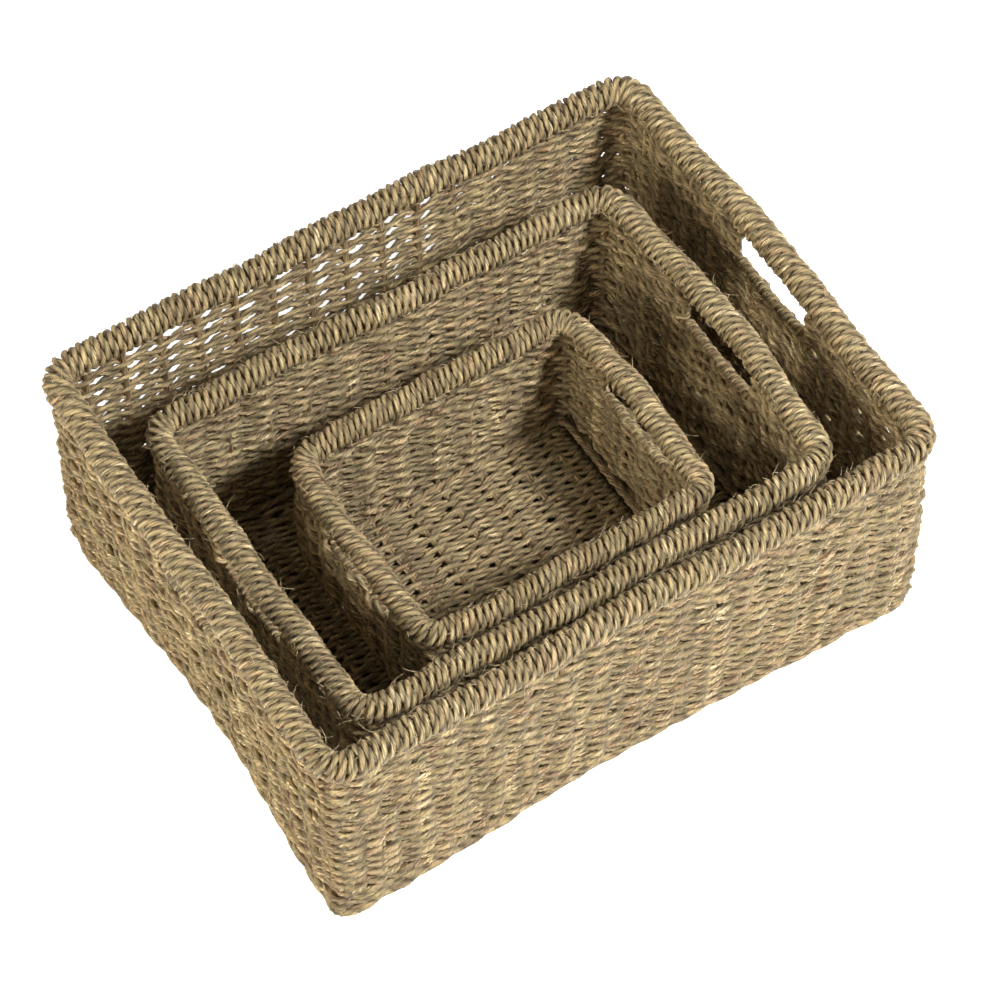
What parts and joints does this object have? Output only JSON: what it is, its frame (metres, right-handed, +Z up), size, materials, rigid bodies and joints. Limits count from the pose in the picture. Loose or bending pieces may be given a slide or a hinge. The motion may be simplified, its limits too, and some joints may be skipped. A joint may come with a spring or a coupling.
{
  "type": "seagrass storage basket",
  "caption": "Nested rectangular open-top seagrass storage baskets with wound rims on wire frames and a hand slot in each short end.",
  "frame": {"origin": "middle of the large basket's underside, at floor level", "axes": "+X along the long sides to the right, +Y to the back, +Z up"},
  "size_m": [0.481, 0.381, 0.2055],
  "materials": {
    "woven_seagrass": "dry fibrous",
    "wound_cord": "dry fibrous",
    "stake_cord": "dry fibrous",
    "seam_cord": "dry fibrous",
    "steel_wire": "satin"
  },
  "bodies": {
    "large_basket": {"large_back_left_post": "steel_wire", "large_back_right_post": "steel_wire", "large_back_wall": "woven_seagrass", "large_base_hoop": "steel_wire", "large_base_warps": "stake_cord", "large_base_weave": "woven_seagrass", "large_end_stakes": "stake_cord", "large_front_left_post": "steel_wire", "large_front_right_post": "steel_wire", "large_front_wall": "woven_seagrass", "large_left_slot_binding": "wound_cord", "large_left_wall": "woven_seagrass", "large_right_slot_binding": "wound_cord", "large_right_wall": "woven_seagrass", "large_rim_hoop": "steel_wire", "large_rim_winding": "wound_cord", "large_seam_braid": "seam_cord"},
    "medium_basket": {"medium_back_left_post": "steel_wire", "medium_back_right_post": "steel_wire", "medium_back_wall": "woven_seagrass", "medium_base_hoop": "steel_wire", "medium_base_warps": "stake_cord", "medium_base_weave": "woven_seagrass", "medium_end_stakes": "stake_cord", "medium_front_left_post": "steel_wire", "medium_front_right_post": "steel_wire", "medium_front_wall": "woven_seagrass", "medium_left_slot_binding": "wound_cord", "medium_left_wall": "woven_seagrass", "medium_right_slot_binding": "wound_cord", "medium_right_wall": "woven_seagrass", "medium_rim_hoop": "steel_wire", "medium_rim_winding": "wound_cord", "medium_seam_braid": "seam_cord"},
    "small_basket": {"small_back_left_post": "steel_wire", "small_back_right_post": "steel_wire", "small_back_wall": "woven_seagrass", "small_base_hoop": "steel_wire", "small_base_warps": "stake_cord", "small_base_weave": "woven_seagrass", "small_end_stakes": "stake_cord", "small_front_left_post": "steel_wire", "small_front_right_post": "steel_wire", "small_front_wall": "woven_seagrass", "small_left_slot_binding": "wound_cord", "small_left_wall": "woven_seagrass", "small_right_slot_binding": "wound_cord", "small_right_wall": "woven_seagrass", "small_rim_hoop": "steel_wire", "small_rim_winding": "wound_cord", "small_seam_braid": "seam_cord"}
  },
  "joints": [
    {"name": "medium_lift", "type": "slide", "parent": "large_basket", "child": "medium_basket", "axis": [0, 0, 1], "range_m": [0, 0.23]},
    {"name": "small_lift", "type": "slide", "parent": "medium_basket", "child": "small_basket", "axis": [0, 0, 1], "range_m": [0, 0.19]}
  ]
}
